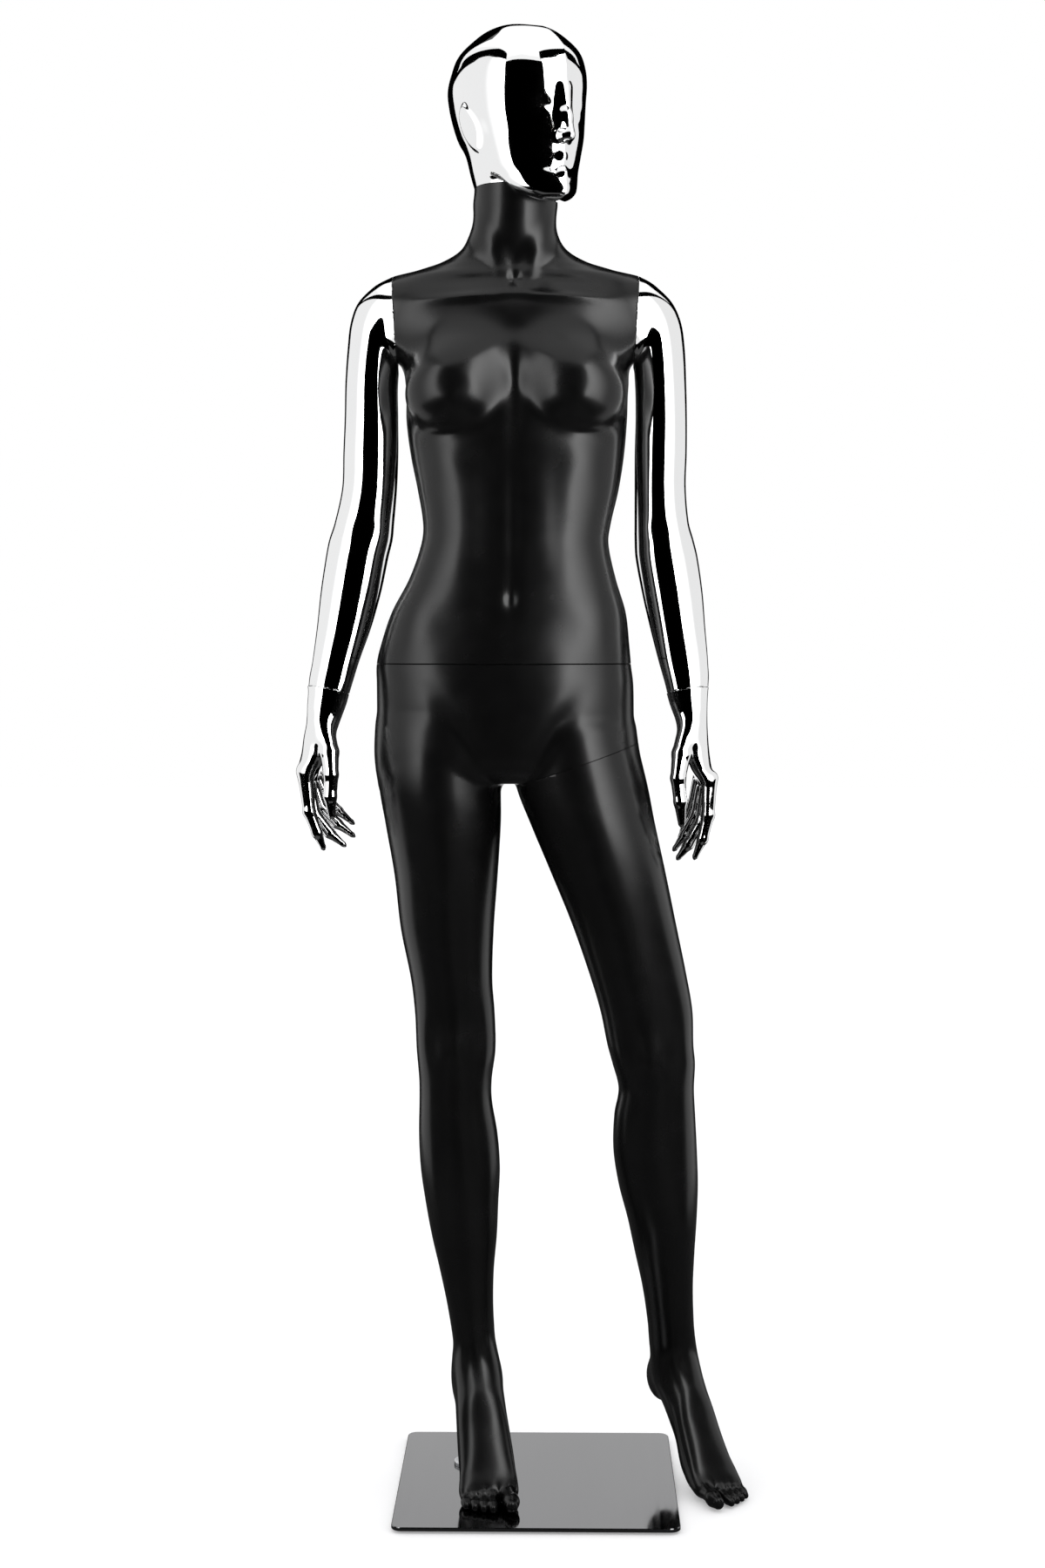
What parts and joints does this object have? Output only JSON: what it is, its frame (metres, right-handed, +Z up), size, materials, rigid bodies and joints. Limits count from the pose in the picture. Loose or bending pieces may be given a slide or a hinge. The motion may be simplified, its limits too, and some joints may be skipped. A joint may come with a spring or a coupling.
{
  "type": "full body mannequin",
  "caption": "Standing female display mannequin with chrome head, arms and hands, satin black body, twist-off joints and a polished square base plate.",
  "frame": {"origin": "on the floor, under the middle of the outline's box in X and Y", "axes": "+Z up; the figure faces -Y; +X is to the figure's left"},
  "size_m": [0.5758, 0.35, 1.857],
  "materials": {
    "chrome_shell": "plastic shell with a mirror chrome plating",
    "black_shell": "satin black lacquer",
    "base_steel": "mirror polished steel plate",
    "fitting_steel": "zinc plated steel",
    "pad_rubber": "matt black rubber"
  },
  "bodies": {
    "hips_and_base": {"pelvis_and_right_leg_shell": "black_shell", "left_leg_shell": "black_shell", "waist_stud_plate": "fitting_steel", "waist_cross_pin": "fitting_steel", "waist_stud_screw_1": "fitting_steel", "waist_stud_screw_2": "fitting_steel", "waist_stud_screw_3": "fitting_steel", "left_leg_stud_plate": "fitting_steel", "left_leg_socket_plate": "fitting_steel", "left_leg_cross_pin": "fitting_steel", "left_leg_stud_screw_1": "fitting_steel", "left_leg_stud_screw_2": "fitting_steel", "left_leg_socket_screw_1": "fitting_steel", "left_leg_socket_screw_2": "fitting_steel", "base_plate": "base_steel", "support_rod": "fitting_steel", "rod_flange": "fitting_steel", "base_screw": "fitting_steel", "ankle_socket_tube": "fitting_steel", "ankle_grub_screw": "fitting_steel", "base_pad_1": "pad_rubber", "base_pad_2": "pad_rubber", "base_pad_3": "pad_rubber", "base_pad_4": "pad_rubber"},
    "torso": {"torso_shell": "black_shell", "waist_socket_plate": "fitting_steel", "waist_socket_screw_1": "fitting_steel", "waist_socket_screw_2": "fitting_steel", "waist_socket_screw_3": "fitting_steel", "neck_stud_plate": "fitting_steel", "neck_cross_pin": "fitting_steel", "right_shoulder_socket_plate": "fitting_steel", "right_shoulder_socket_screw_1": "fitting_steel", "right_shoulder_socket_screw_2": "fitting_steel", "left_shoulder_socket_plate": "fitting_steel", "left_shoulder_socket_screw_1": "fitting_steel", "left_shoulder_socket_screw_2": "fitting_steel"},
    "head": {"head_shell": "chrome_shell", "neck_socket_plate": "fitting_steel"},
    "right_arm": {"right_arm_shell": "chrome_shell", "right_shoulder_stud_plate": "fitting_steel", "right_shoulder_cross_pin": "fitting_steel", "right_shoulder_stud_screw_1": "fitting_steel", "right_shoulder_stud_screw_2": "fitting_steel", "right_wrist_socket_plate": "fitting_steel"},
    "left_arm": {"left_arm_shell": "chrome_shell", "left_shoulder_stud_plate": "fitting_steel", "left_shoulder_cross_pin": "fitting_steel", "left_shoulder_stud_screw_1": "fitting_steel", "left_shoulder_stud_screw_2": "fitting_steel", "left_wrist_socket_plate": "fitting_steel"},
    "right_hand": {"right_hand": "chrome_shell", "right_wrist_stud_plate": "fitting_steel", "right_wrist_cross_pin": "fitting_steel"},
    "left_hand": {"left_hand": "chrome_shell", "left_wrist_stud_plate": "fitting_steel", "left_wrist_cross_pin": "fitting_steel"}
  },
  "joints": [
    {"name": "waist_turn", "type": "hinge", "parent": "hips_and_base", "child": "torso", "pos_m": [-0.025, 0.004, 1.047], "axis": [0, 0, 1], "range_deg": [-30, 30]},
    {"name": "head_turn", "type": "hinge", "parent": "torso", "child": "head", "pos_m": [-0.0105, -0.005, 1.652], "axis": [0, 0, 1], "range_deg": [-100, 20]},
    {"name": "right_shoulder_swing", "type": "hinge", "parent": "torso", "child": "right_arm", "pos_m": [-0.164, 0.012, 1.487], "axis": [-0.9981, 0, -0.061], "range_deg": [-30, 90]},
    {"name": "left_shoulder_swing", "type": "hinge", "parent": "torso", "child": "left_arm", "pos_m": [0.1435, 0.012, 1.487], "axis": [-0.9981, 0, 0.061], "range_deg": [-30, 90]},
    {"name": "right_wrist_turn", "type": "hinge", "parent": "right_arm", "child": "right_hand", "pos_m": [-0.248, -0.008, 1.013], "axis": [0.1903, 0.1402, 0.9717], "range_deg": [-15, 45]},
    {"name": "left_wrist_turn", "type": "hinge", "parent": "left_arm", "child": "left_hand", "pos_m": [0.208, -0.008, 1.013], "axis": [-0.14, 0.14, 0.9802], "range_deg": [-45, 15]}
  ]
}
